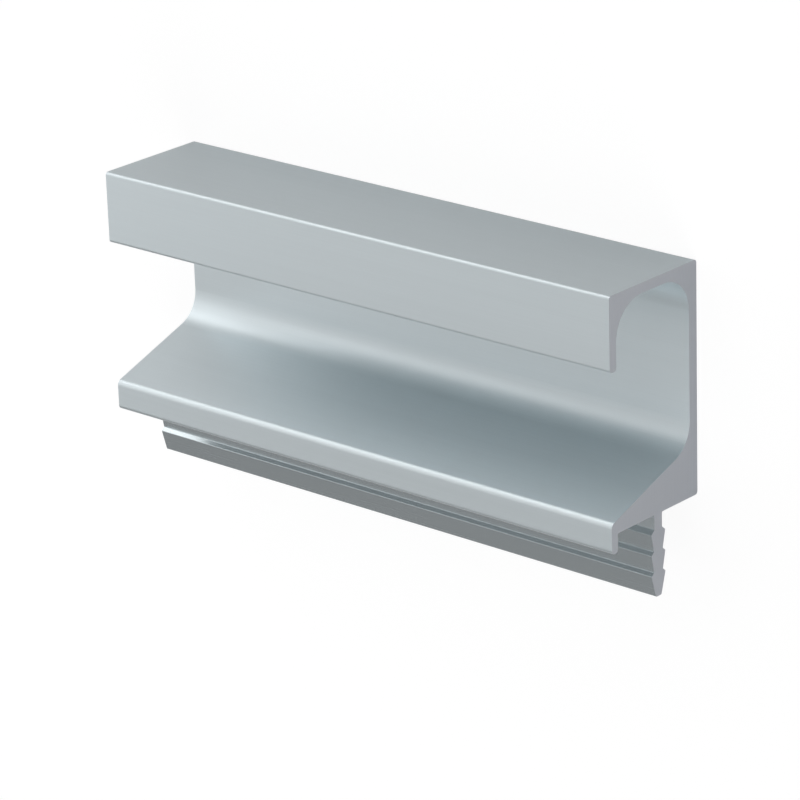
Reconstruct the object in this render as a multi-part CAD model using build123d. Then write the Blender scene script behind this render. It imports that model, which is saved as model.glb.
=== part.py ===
from build123d import *
import os
from math import radians, tan
from typing import NamedTuple

# Handle profile for the edge of a furniture panel, extruded in one piece.
# All sizes are in millimetres. The profile lies on its back plate, with its
# length along X, the grip above +Y, the tongue towards -Y and the mouth of the
# grip facing up. The origin is the centre of its footprint.

# The cut length, and the panel that the profile is made for
profile_length = 100.0
panel_thickness = 19.0

# Back plate, from the seat on the panel's edge to the top wall
plate_height = 36.6
plate_wall = 1.8

# Hooked grip: the top wall and the flange that hangs from it
top_wall = 1.6
flange_wall = 1.5
flange_height = 11.6
grip_radius = 5.9

# Sloping lip that fills the corner between the back plate and the seat
lip_angle = 19.6
lip_radius = 5.2
nose_height = 1.7
nose_round = 1.0

# Drip edge, which laps over the front of the panel
drip_wall = 1.4
drip_reach = 3.0
drip_round = 0.65

# Barbed tongue, pressed into a groove along the middle of the panel's edge
shank_width = 1.8
notch_width = 2.1
barb_width = 3.3
first_barb = 3.0
barb_pitch = 3.3
barb_count = 3
shoulder_angle = 41.0
lead_in = 3.5
tongue_end_width = 1.3
tongue_end_round = 0.3
barb_round = 0.12

# Rounding of the outer edges, and of the corners in the seat
edge_round = 0.5
seat_round = 0.25

# Share of a wall that a rounding on it may take up
rounding_share = 0.47

# Sizes that follow
profile_depth = panel_thickness + drip_wall
tongue_middle = panel_thickness / 2
tongue_reach = first_barb + barb_pitch * (barb_count - 1) + lead_in
lip_rise = tan(radians(lip_angle)) * (profile_depth - plate_wall)
overall_height = plate_height + tongue_reach
seat_from_middle = tongue_reach - overall_height / 2


class Corner(NamedTuple):
    """A corner of the section: its distance from the seat towards the grip, its
    height above the back face, and the radius that rounds it."""

    up: float
    out: float
    radius: float = 0.0


def eased(radius, wall):
    """The radius, held back where the wall is too thin to carry it."""
    return min(radius, rounding_share * wall)


def back_plate():
    """The two corners of the back face."""
    return [
        Corner(0, 0, eased(edge_round, plate_wall)),
        Corner(plate_height, 0, eased(edge_round, top_wall)),
    ]


def hooked_grip():
    """Over the top wall, down the flange and back up inside to the plate."""
    inner_face = profile_depth - flange_wall
    flange_end = plate_height - flange_height
    ceiling = plate_height - top_wall
    return [
        Corner(plate_height, profile_depth, eased(edge_round, flange_wall)),
        Corner(flange_end, profile_depth, eased(edge_round, flange_wall)),
        Corner(flange_end, inner_face, eased(edge_round, flange_wall)),
        Corner(ceiling, inner_face, grip_radius),
        Corner(ceiling, plate_wall, grip_radius),
    ]


def sloping_lip():
    """Down the lip's slope, round its nose and the drip edge to the seat."""
    drip_face = profile_depth - drip_wall
    return [
        Corner(nose_height + lip_rise, plate_wall, lip_radius),
        Corner(nose_height, profile_depth, nose_round),
        Corner(-drip_reach, profile_depth, eased(drip_round, drip_wall)),
        Corner(-drip_reach, drip_face, eased(drip_round, drip_wall)),
        Corner(0, drip_face, seat_round),
    ]


def tongue_side(side):
    """One side of the tongue from the seat to its end: side is 1 or -1."""

    def corner(depth, width, radius):
        return Corner(-depth, tongue_middle + side * width / 2, radius)

    corners = [corner(0, shank_width, seat_round)]
    foot = shank_width
    for number in range(barb_count):
        tip = first_barb + number * barb_pitch
        shoulder = tan(radians(shoulder_angle)) * (barb_width - foot) / 2
        corners.append(corner(tip - shoulder, foot, barb_round))
        corners.append(corner(tip, barb_width, barb_round))
        foot = notch_width
    corners.append(corner(tongue_reach, tongue_end_width, eased(tongue_end_round, tongue_end_width)))
    return corners


def section():
    """The whole section, as one face in the plane across the profile."""
    corners = back_plate() + hooked_grip() + sloping_lip()
    corners += tongue_side(1) + tongue_side(-1)[::-1]
    points = [(seat_from_middle + corner.up, corner.out) for corner in corners]
    outline = FilletPolyline(*points, radius=[corner.radius for corner in corners], close=True)
    return make_face(Plane.YZ * outline)


handle_profile = extrude(section(), amount=profile_length / 2, both=True)
handle_profile.label = "handle_profile"

os.makedirs("parts", exist_ok=True)
export_step(handle_profile, "parts/handle_profile.step")
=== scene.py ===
"""Looks of a satin-anodised aluminium handle profile that lies on its back plate.

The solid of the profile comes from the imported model. This script gives it the
finish of drawn, anodised metal with two sawn ends, and puts it on a white floor
under soft lamps, seen as an upright profile is seen from its front right corner.

Sizes are in metres. The length of the profile runs along X, the grip lies
towards +Y, the barbed tongue towards -Y, and the mouth of the grip faces +Z.
"""

from __future__ import annotations

import logging
import math
from dataclasses import dataclass, field
from enum import Enum

import bpy
from mathutils import Matrix, Vector


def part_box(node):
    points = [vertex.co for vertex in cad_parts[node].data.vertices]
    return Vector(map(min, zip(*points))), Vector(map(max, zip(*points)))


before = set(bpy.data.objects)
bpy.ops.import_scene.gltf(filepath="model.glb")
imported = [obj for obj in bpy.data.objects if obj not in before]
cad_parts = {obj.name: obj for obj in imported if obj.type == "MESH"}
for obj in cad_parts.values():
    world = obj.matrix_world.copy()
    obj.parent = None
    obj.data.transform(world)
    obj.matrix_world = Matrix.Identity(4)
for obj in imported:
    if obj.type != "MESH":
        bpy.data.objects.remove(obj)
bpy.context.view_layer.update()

log = logging.getLogger("handle_profile")

Colour = tuple[float, float, float]
Point = tuple[float, float, float]
Settings = dict[str, object]
Inputs = dict[str | int, object]

MILLIMETRE = 0.001
WHITE: Colour = (1.0, 1.0, 1.0)

# The value that a noise varies around
NOISE_MIDDLE = 0.5

# Places of the colours among the inputs and outputs of a Mix node
FIRST_COLOUR = 6
SECOND_COLOUR = 7
MIXED_COLOUR = 2


class Ray(Enum):
    """The kinds of ray that are told apart, by the names of their sockets."""

    CAMERA = "Is Camera Ray"
    GLOSSY = "Is Glossy Ray"
    TRANSMISSION = "Is Transmission Ray"


class Value:
    """A number that varies over a surface: a socket whose arithmetic adds nodes."""

    def __init__(self, sheet: NodeSheet, socket: bpy.types.NodeSocket) -> None:
        """Wraps a socket.

        Args:
            sheet: The nodes that the socket belongs to.
            socket: An output socket that gives the number.
        """
        self.sheet = sheet
        self.socket = socket

    def maths(self, operation: str, *terms: Value | float) -> Value:
        """Adds one Math node.

        Args:
            operation: The node's operation.
            terms: Its inputs, in order.

        Returns:
            The node's result.
        """
        inputs = dict(enumerate(terms))
        node = self.sheet.add("ShaderNodeMath", {"operation": operation}, inputs)
        return self.sheet.value(node)

    def __add__(self, other: Value | float) -> Value:
        """The sum."""
        return self.maths("ADD", self, other)

    __radd__ = __add__

    def __sub__(self, other: Value | float) -> Value:
        """The difference."""
        return self.maths("SUBTRACT", self, other)

    def __rsub__(self, other: Value | float) -> Value:
        """The difference, from a plain number."""
        return self.maths("SUBTRACT", other, self)

    def __mul__(self, other: Value | float) -> Value:
        """The product."""
        return self.maths("MULTIPLY", self, other)

    __rmul__ = __mul__

    def __gt__(self, limit: Value | float) -> Value:
        """1 where the value is over the limit, and 0 elsewhere."""
        return self.maths("GREATER_THAN", self, limit)

    def __lt__(self, limit: Value | float) -> Value:
        """1 where the value is under the limit, and 0 elsewhere."""
        return self.maths("LESS_THAN", self, limit)

    def __abs__(self) -> Value:
        """The size of the value without its sign."""
        return self.maths("ABSOLUTE", self)

    def root(self) -> Value:
        """The square root."""
        return self.maths("SQRT", self)

    def larger(self, other: Value | float) -> Value:
        """The larger of two values."""
        return self.maths("MAXIMUM", self, other)

    def towards(self, other: Value, share: Value) -> Value:
        """The value, moved by a share of the way to another."""
        return self + share * (other - self)


@dataclass(frozen=True)
class Pattern:
    """A noise that may be drawn out along the length of the profile.

    Attributes:
        length: Size of its features along X.
        width: Their size along Y and Z.
        detail: How many finer layers it has.
        roughness: How strong those layers are.
    """

    length: float
    width: float
    detail: float
    roughness: float


class NodeSheet:
    """The nodes of one material or of the world."""

    def __init__(self, tree: bpy.types.NodeTree) -> None:
        """Empties a node tree and keeps it.

        Args:
            tree: The tree to build in.
        """
        self.tree = tree
        tree.nodes.clear()

    def add(
        self, kind: str, settings: Settings | None = None, inputs: Inputs | None = None
    ) -> bpy.types.Node:
        """Adds a node.

        Args:
            kind: The node's type.
            settings: Its own settings, which are set first.
            inputs: Values or links of its inputs, by name or number.

        Returns:
            The new node.
        """
        node = self.tree.nodes.new(kind)
        for name, setting in (settings or {}).items():
            setattr(node, name, setting)
        for name, source in (inputs or {}).items():
            if isinstance(source, Value):
                source = source.socket
            if isinstance(source, bpy.types.NodeSocket):
                self.tree.links.new(source, node.inputs[name])
            else:
                node.inputs[name].default_value = source
        return node

    def value(self, node: bpy.types.Node, output: str | int = 0) -> Value:
        """An output of a node, as a value."""
        return Value(self, node.outputs[output])

    def axes(self, vector: bpy.types.NodeSocket) -> tuple[Value, Value, Value]:
        """The three numbers of a vector."""
        node = self.add("ShaderNodeSeparateXYZ", inputs={0: vector})
        return self.value(node, 0), self.value(node, 1), self.value(node, 2)

    def vector(self, *numbers: Value | float) -> bpy.types.NodeSocket:
        """A vector of three numbers."""
        return self.add("ShaderNodeCombineXYZ", inputs=dict(enumerate(numbers))).outputs[0]

    def noise(self, place: bpy.types.NodeSocket, pattern: Pattern) -> Value:
        """A noise with the features of a pattern.

        Args:
            place: Where the noise is read, in metres.
            pattern: The size and strength of its features.

        Returns:
            A value that varies around NOISE_MIDDLE.
        """
        scale = (1 / pattern.length, 1 / pattern.width, 1 / pattern.width)
        mapping = self.add("ShaderNodeMapping", inputs={"Vector": place, "Scale": scale})
        inputs = {
            "Vector": mapping.outputs[0],
            "Scale": 1.0,
            "Detail": pattern.detail,
            "Roughness": pattern.roughness,
        }
        return self.value(self.add("ShaderNodeTexNoise", inputs=inputs))

    def mix(self, share: Value, first: object, second: object) -> bpy.types.NodeSocket:
        """Mixes two colours.

        Args:
            share: The share of the second.
            first: A colour or a socket.
            second: A colour or a socket.

        Returns:
            The mixed colour.
        """
        inputs = {0: share, FIRST_COLOUR: first, SECOND_COLOUR: second}
        node = self.add("ShaderNodeMix", {"data_type": "RGBA"}, inputs)
        return node.outputs[MIXED_COLOUR]

    def seen_by(self, *rays: Ray) -> Value:
        """Tells some kinds of ray from all others.

        Args:
            rays: One or more kinds of ray.

        Returns:
            1 for those kinds, and 0 for all others.
        """
        path = self.add("ShaderNodeLightPath")
        seen = self.value(path, rays[0].value)
        for ray in rays[1:]:
            seen = seen.larger(self.value(path, ray.value))
        return seen


def opaque(colour: Colour) -> tuple[float, float, float, float]:
    """The colour with full opacity, as a socket takes it."""
    return (*colour, 1.0)


@dataclass(frozen=True)
class Surface:
    """What a finish looks like from place to place.

    Attributes:
        colour: The colour.
        roughness: The roughness.
        height: The height, in metres.
    """

    colour: bpy.types.NodeSocket
    roughness: Value
    height: Value


@dataclass(frozen=True)
class DrawnSkin:
    """Satin skin of the extruded length: fine lines run the way it left the die.

    Attributes:
        light: Colour of the metal between the lines.
        dark: Colour in the lines.
        roughness: Mean roughness.
        roughness_spread: How far the lines move the roughness.
        lines: The finest lines.
        streaks: The broad, faint streaks.
        grain: The etched grain.
        line_share: What part of the shading comes from the finest lines.
        streak_share: What part comes from the streaks.
        grain_share: What part comes from the grain.
        line_depth: Depth of the finest lines.
        grain_depth: Depth of the grain.
    """

    light: Colour = (0.740, 0.803, 0.828)
    dark: Colour = (0.665, 0.728, 0.753)
    roughness: float = 0.46
    roughness_spread: float = 0.10
    lines: Pattern = Pattern(45.0 * MILLIMETRE, 0.16 * MILLIMETRE, 2.0, 0.6)
    streaks: Pattern = Pattern(260.0 * MILLIMETRE, 1.6 * MILLIMETRE, 2.0, 0.5)
    grain: Pattern = Pattern(0.09 * MILLIMETRE, 0.09 * MILLIMETRE, 1.0, 0.5)
    line_share: float = 0.5
    streak_share: float = 0.3
    grain_share: float = 0.2
    line_depth: float = 0.0006 * MILLIMETRE
    grain_depth: float = 0.0006 * MILLIMETRE

    def surface(self, sheet: NodeSheet, place: bpy.types.NodeSocket) -> Surface:
        """Adds the nodes of the skin.

        Args:
            sheet: The material's nodes.
            place: The place on the profile.

        Returns:
            The skin's surface.
        """
        lines = sheet.noise(place, self.lines)
        streaks = sheet.noise(place, self.streaks)
        grain = sheet.noise(place, self.grain)
        tone = self.line_share * lines + self.streak_share * streaks + self.grain_share * grain
        colour = sheet.mix(tone, opaque(self.dark), opaque(self.light))
        roughness = self.roughness + (tone - NOISE_MIDDLE) * self.roughness_spread
        height = lines * self.line_depth + grain * self.grain_depth
        return Surface(colour, roughness, height)


@dataclass(frozen=True)
class SmootherTongue:
    """The tongue, and the seat beside it, where the skin is smoother.

    Attributes:
        smoother: How far the roughness lies under the skin's.
        seat: How far below the grip's top this starts, just above the seat.
        drip_wall: Wall of the drip edge, which isn't part of it.
    """

    smoother: float = 0.20
    seat: float = 36.5 * MILLIMETRE
    drip_wall: float = 1.4 * MILLIMETRE

    def mask(self, across: Value, out: Value, highest: Vector) -> Value:
        """Tells the tongue from the rest of the skin.

        Args:
            across: Distance across the profile, from the tongue to the grip.
            out: Distance out from the back plate.
            highest: The highest corner of the profile's box.

        Returns:
            1 on the tongue and the seat, and 0 elsewhere.
        """
        is_low = highest.y - self.seat > across
        is_behind_drip = highest.z - self.drip_wall > out
        return is_low * is_behind_drip


@dataclass(frozen=True)
class SawnEnd:
    """Bare cut metal of the two ends, with the arcs that a round blade leaves.

    Attributes:
        light: Colour between the arcs.
        dark: Colour in the arcs.
        roughness: Mean roughness.
        roughness_spread: How far the arcs move the roughness.
        blade_radius: Radius of the saw blade, and so of the arcs.
        arcs: How the arcs follow each other outwards from the blade's middle.
        arc_depth: Depth of the arcs.
        cut_depth: How far in from the end the cut face reaches.
    """

    light: Colour = (0.640, 0.665, 0.710)
    dark: Colour = (0.575, 0.600, 0.645)
    roughness: float = 0.46
    roughness_spread: float = 0.08
    blade_radius: float = 150.0 * MILLIMETRE
    arcs: Pattern = Pattern(0.35 * MILLIMETRE, 0.35 * MILLIMETRE, 2.0, 0.6)
    arc_depth: float = 0.0010 * MILLIMETRE
    cut_depth: float = 0.01 * MILLIMETRE

    def mask(self, along: Value, highest: Vector) -> Value:
        """1 on the two cut faces, and 0 elsewhere."""
        return abs(along) > highest.x - self.cut_depth

    def surface(self, sheet: NodeSheet, across: Value, out: Value) -> Surface:
        """Adds the nodes of the cut faces.

        Args:
            sheet: The material's nodes.
            across: Distance across the profile, from the tongue to the grip.
            out: Distance out from the back plate.

        Returns:
            The cut's surface.
        """
        reach = (self.blade_radius * self.blade_radius - across * across).root()
        arcs = sheet.noise(sheet.vector(out + reach, 0.0, 0.0), self.arcs)
        colour = sheet.mix(arcs, opaque(self.dark), opaque(self.light))
        roughness = self.roughness + (arcs - NOISE_MIDDLE) * self.roughness_spread
        return Surface(colour, roughness, arcs * self.arc_depth)


@dataclass(frozen=True)
class AnodisedAluminium:
    """The whole finish of the profile.

    Attributes:
        name: What the material is called.
        metallic: How metallic it is.
        skin: The drawn skin of the length.
        tongue: The smoother tongue.
        end: The sawn ends.
    """

    name: str = "anodised_aluminium"
    metallic: float = 0.9
    skin: DrawnSkin = DrawnSkin()
    tongue: SmootherTongue = SmootherTongue()
    end: SawnEnd = SawnEnd()

    def material(self, highest: Vector) -> bpy.types.Material:
        """Makes the material.

        Args:
            highest: The highest corner of the profile's box.

        Returns:
            The material, which reads the place on the object.
        """
        material = bpy.data.materials.new(self.name)
        material.use_nodes = True
        sheet = NodeSheet(material.node_tree)
        place = sheet.add("ShaderNodeTexCoord").outputs["Object"]
        along, across, out = sheet.axes(place)
        is_end = self.end.mask(along, highest)
        is_tongue = self.tongue.mask(across, out, highest)
        skin = self.skin.surface(sheet, place)
        end = self.end.surface(sheet, across, out)
        skin_roughness = skin.roughness - is_tongue * self.tongue.smoother
        height = skin.height.towards(end.height, is_end)
        bump = sheet.add("ShaderNodeBump", inputs={"Strength": 1.0, "Distance": 1.0, "Height": height})
        shader = sheet.add(
            "ShaderNodeBsdfPrincipled",
            inputs={
                "Base Color": sheet.mix(is_end, skin.colour, end.colour),
                "Metallic": self.metallic,
                "Roughness": skin_roughness.towards(end.roughness, is_end),
                "Normal": bump.outputs[0],
            },
        )
        sheet.add("ShaderNodeOutputMaterial", inputs={"Surface": shader.outputs[0]})
        return material


@dataclass(frozen=True)
class WhitePaper:
    """Matt paper that shows as white to the camera and keeps a faint shadow.

    Attributes:
        name: What the material is called.
        colour: Colour of the paper itself.
        white_share: How much plain white the camera sees over the paper.
        mirrored_share: How much of it shows in what mirrors the paper.
        white_level: Strength of that white.
    """

    name: str = "white_paper"
    colour: Colour = (0.6, 0.6, 0.6)
    white_share: float = 0.75
    mirrored_share: float = 0.18
    white_level: float = 1.2

    def material(self) -> bpy.types.Material:
        """Makes the material.

        Returns:
            The material: paper, mixed with plain white for the rays that see it.
        """
        material = bpy.data.materials.new(self.name)
        material.use_nodes = True
        sheet = NodeSheet(material.node_tree)
        seen = sheet.seen_by(Ray.CAMERA) * self.white_share
        mirrored = sheet.seen_by(Ray.GLOSSY, Ray.TRANSMISSION) * self.mirrored_share
        paper = sheet.add("ShaderNodeBsdfDiffuse", inputs={"Color": opaque(self.colour)})
        white = sheet.add(
            "ShaderNodeEmission", inputs={"Color": opaque(WHITE), "Strength": self.white_level}
        )
        mixed = sheet.add(
            "ShaderNodeMixShader",
            inputs={0: seen + mirrored, 1: paper.outputs[0], 2: white.outputs[0]},
        )
        sheet.add("ShaderNodeOutputMaterial", inputs={"Surface": mixed.outputs[0]})
        return material


@dataclass
class HandleProfile:
    """The profile: one extruded piece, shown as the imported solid.

    Attributes:
        node: The name of the solid.
        finish: Its finish.
    """

    node: str = "handle_profile"
    finish: AnodisedAluminium = AnodisedAluminium()

    def dress(self) -> bpy.types.Object:
        """Puts the finish on the solid.

        Returns:
            The solid.
        """
        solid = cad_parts[self.node]
        material = self.finish.material(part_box(self.node)[1])
        for slot in solid.material_slots:
            slot.material = material
        return solid


@dataclass
class Floor:
    """The plain floor that the profile lies on.

    Attributes:
        size: Its width and depth.
        gap: How far it lies below the back plate.
        finish: Its finish.
    """

    size: float = 6.0
    gap: float = 0.02 * MILLIMETRE
    finish: WhitePaper = WhitePaper()

    def build(self) -> bpy.types.Object:
        """Makes the floor just under the back plate.

        Returns:
            The floor.
        """
        bpy.ops.mesh.primitive_plane_add(size=self.size, location=(0, 0, -self.gap))
        floor = bpy.context.object
        floor.name = "floor"
        floor.data.materials.append(self.finish.material())
        return floor


@dataclass
class SoftBox:
    """A soft lamp, which is a lit rectangle.

    Attributes:
        name: What the lamp is called.
        place: Where its middle is.
        width: Its width.
        height: Its height.
        watts: Its power.
        aim: The point that it faces.
    """

    name: str
    place: Point
    width: float
    height: float
    watts: float
    aim: Point = (0.0, 0.0, 0.01)

    def build(self) -> bpy.types.Object:
        """Makes the lamp, turned to its aim.

        Returns:
            The lamp.
        """
        light = bpy.data.lights.new(self.name, "AREA")
        light.shape = "RECTANGLE"
        light.size = self.width
        light.size_y = self.height
        light.energy = self.watts
        lamp = bpy.data.objects.new(self.name, light)
        lamp.visible_camera = False
        bpy.context.scene.collection.objects.link(lamp)
        facing = Vector(self.aim) - Vector(self.place)
        turn = facing.to_track_quat("-Z", "Y").to_matrix().to_4x4()
        lamp.matrix_world = Matrix.Translation(self.place) @ turn
        return lamp


@dataclass
class Studio:
    """Soft lamps in a white surround.

    Attributes:
        surround: How much the surround lights what is matt, where 1 is white.
        mirrored: How much of its white shows in what mirrors it.
        lamps: The lamps, with left, right and above told for an upright profile.
    """

    surround: float = 0.02
    mirrored: float = 0.17
    lamps: list[SoftBox] = field(
        default_factory=lambda: [
            SoftBox("over_grip", (0.0, 0.75, 0.38), 0.90, 0.70, 2.15),
            SoftBox("over_grip_left", (-0.45, 0.62, 0.38), 0.70, 0.70, 0.30),
            SoftBox("over_grip_low", (-0.25, 0.36, 0.14), 0.30, 0.20, 0.17),
            SoftBox("left_above", (-0.80, 0.36, 0.16), 0.50, 0.40, 0.95),
            SoftBox("left", (-0.70, 0.0, 0.36), 0.70, 0.70, 1.08),
            SoftBox("left_low", (-0.446, 0.0, 0.073), 0.26, 0.26, 0.32),
            SoftBox("left_under", (-0.50, -0.60, 0.45), 0.50, 0.50, 0.05),
            SoftBox("key", (-0.35, 0.35, 0.70), 0.50, 0.50, 0.52),
            SoftBox("front_left", (-0.082, -0.082, 0.445), 0.26, 0.26, 0.14),
            SoftBox("front_right", (0.20, -0.35, 0.75), 0.50, 0.50, 1.18),
            SoftBox("under_tongue", (0.30, -0.72, 0.47), 0.60, 0.60, 1.20),
            SoftBox("right", (0.60, -0.45, 0.36), 0.90, 0.90, 2.50),
            SoftBox("right_low", (0.446, 0.0, 0.073), 0.26, 0.26, 0.10),
        ]
    )

    def build(self) -> None:
        """Makes the lamps and the surround, which the camera sees as white."""
        for lamp in self.lamps:
            lamp.build()
        world = bpy.data.worlds.new("surround")
        bpy.context.scene.world = world
        world.use_nodes = True
        sheet = NodeSheet(world.node_tree)
        mirrored = sheet.seen_by(Ray.GLOSSY, Ray.TRANSMISSION) * self.mirrored
        white = sheet.seen_by(Ray.CAMERA) + mirrored
        level = self.surround + (1.0 - self.surround) * white
        light = sheet.add("ShaderNodeBackground", inputs={"Color": opaque(WHITE), "Strength": level})
        sheet.add("ShaderNodeOutputWorld", inputs={"Surface": light.outputs[0]})


@dataclass
class Camera:
    """The camera, told as if the profile stood upright, then laid back with it.

    Attributes:
        azimuth: Degrees to the right of the profile's front.
        elevation: Degrees above the level of the aim.
        roll: Degrees that the camera leans to its left.
        laid_back: Degrees about X from the upright profile to the lying one.
        distance: From the camera to its aim.
        aim: The point in the middle of the picture.
        lens: Focal length in millimetres, on a sensor 36 mm wide.
    """

    azimuth: float = 41.642
    elevation: float = 20.688
    roll: float = -1.855
    laid_back: float = -90.0
    distance: float = 0.62377
    aim: Point = (0.00348, -0.00341, 0.01310)
    lens: float = 184.91

    def build(self) -> bpy.types.Object:
        """Makes the camera and sets it as the scene's own.

        Returns:
            The camera.
        """
        azimuth = math.radians(self.azimuth)
        elevation = math.radians(self.elevation)
        level = math.cos(elevation)
        back = Vector((level * math.sin(azimuth), -level * math.cos(azimuth), math.sin(elevation)))
        turn = back.to_track_quat("Z", "Y").to_matrix().to_4x4()
        lean = Matrix.Rotation(math.radians(self.roll), 4, "Z")
        laid_back = Matrix.Rotation(math.radians(self.laid_back), 4, "X")
        offset = Matrix.Translation(self.distance * back)
        optics = bpy.data.cameras.new("camera")
        optics.lens = self.lens
        camera = bpy.data.objects.new("camera", optics)
        bpy.context.scene.collection.objects.link(camera)
        camera.matrix_world = Matrix.Translation(self.aim) @ laid_back @ offset @ turn @ lean
        bpy.context.scene.camera = camera
        return camera


def main() -> None:
    """Dresses the profile, sets it in the studio and reports each piece."""
    logging.basicConfig(level=logging.INFO, format="%(message)s")
    bpy.ops.object.select_all(action="DESELECT")
    bpy.context.scene.view_settings.view_transform = "Standard"
    profile = HandleProfile().dress()
    faces = len(profile.data.polygons)
    log.info("%s: %d faces, finish %s", profile.name, faces, profile.active_material.name)
    floor = Floor().build()
    log.info("%s: %.1f m wide", floor.name, floor.dimensions.x)
    studio = Studio()
    studio.build()
    log.info("studio: %d lamps", len(studio.lamps))
    camera = Camera().build()
    log.info("%s: %.1f mm lens", camera.name, camera.data.lens)


if __name__ == "__main__":
    main()
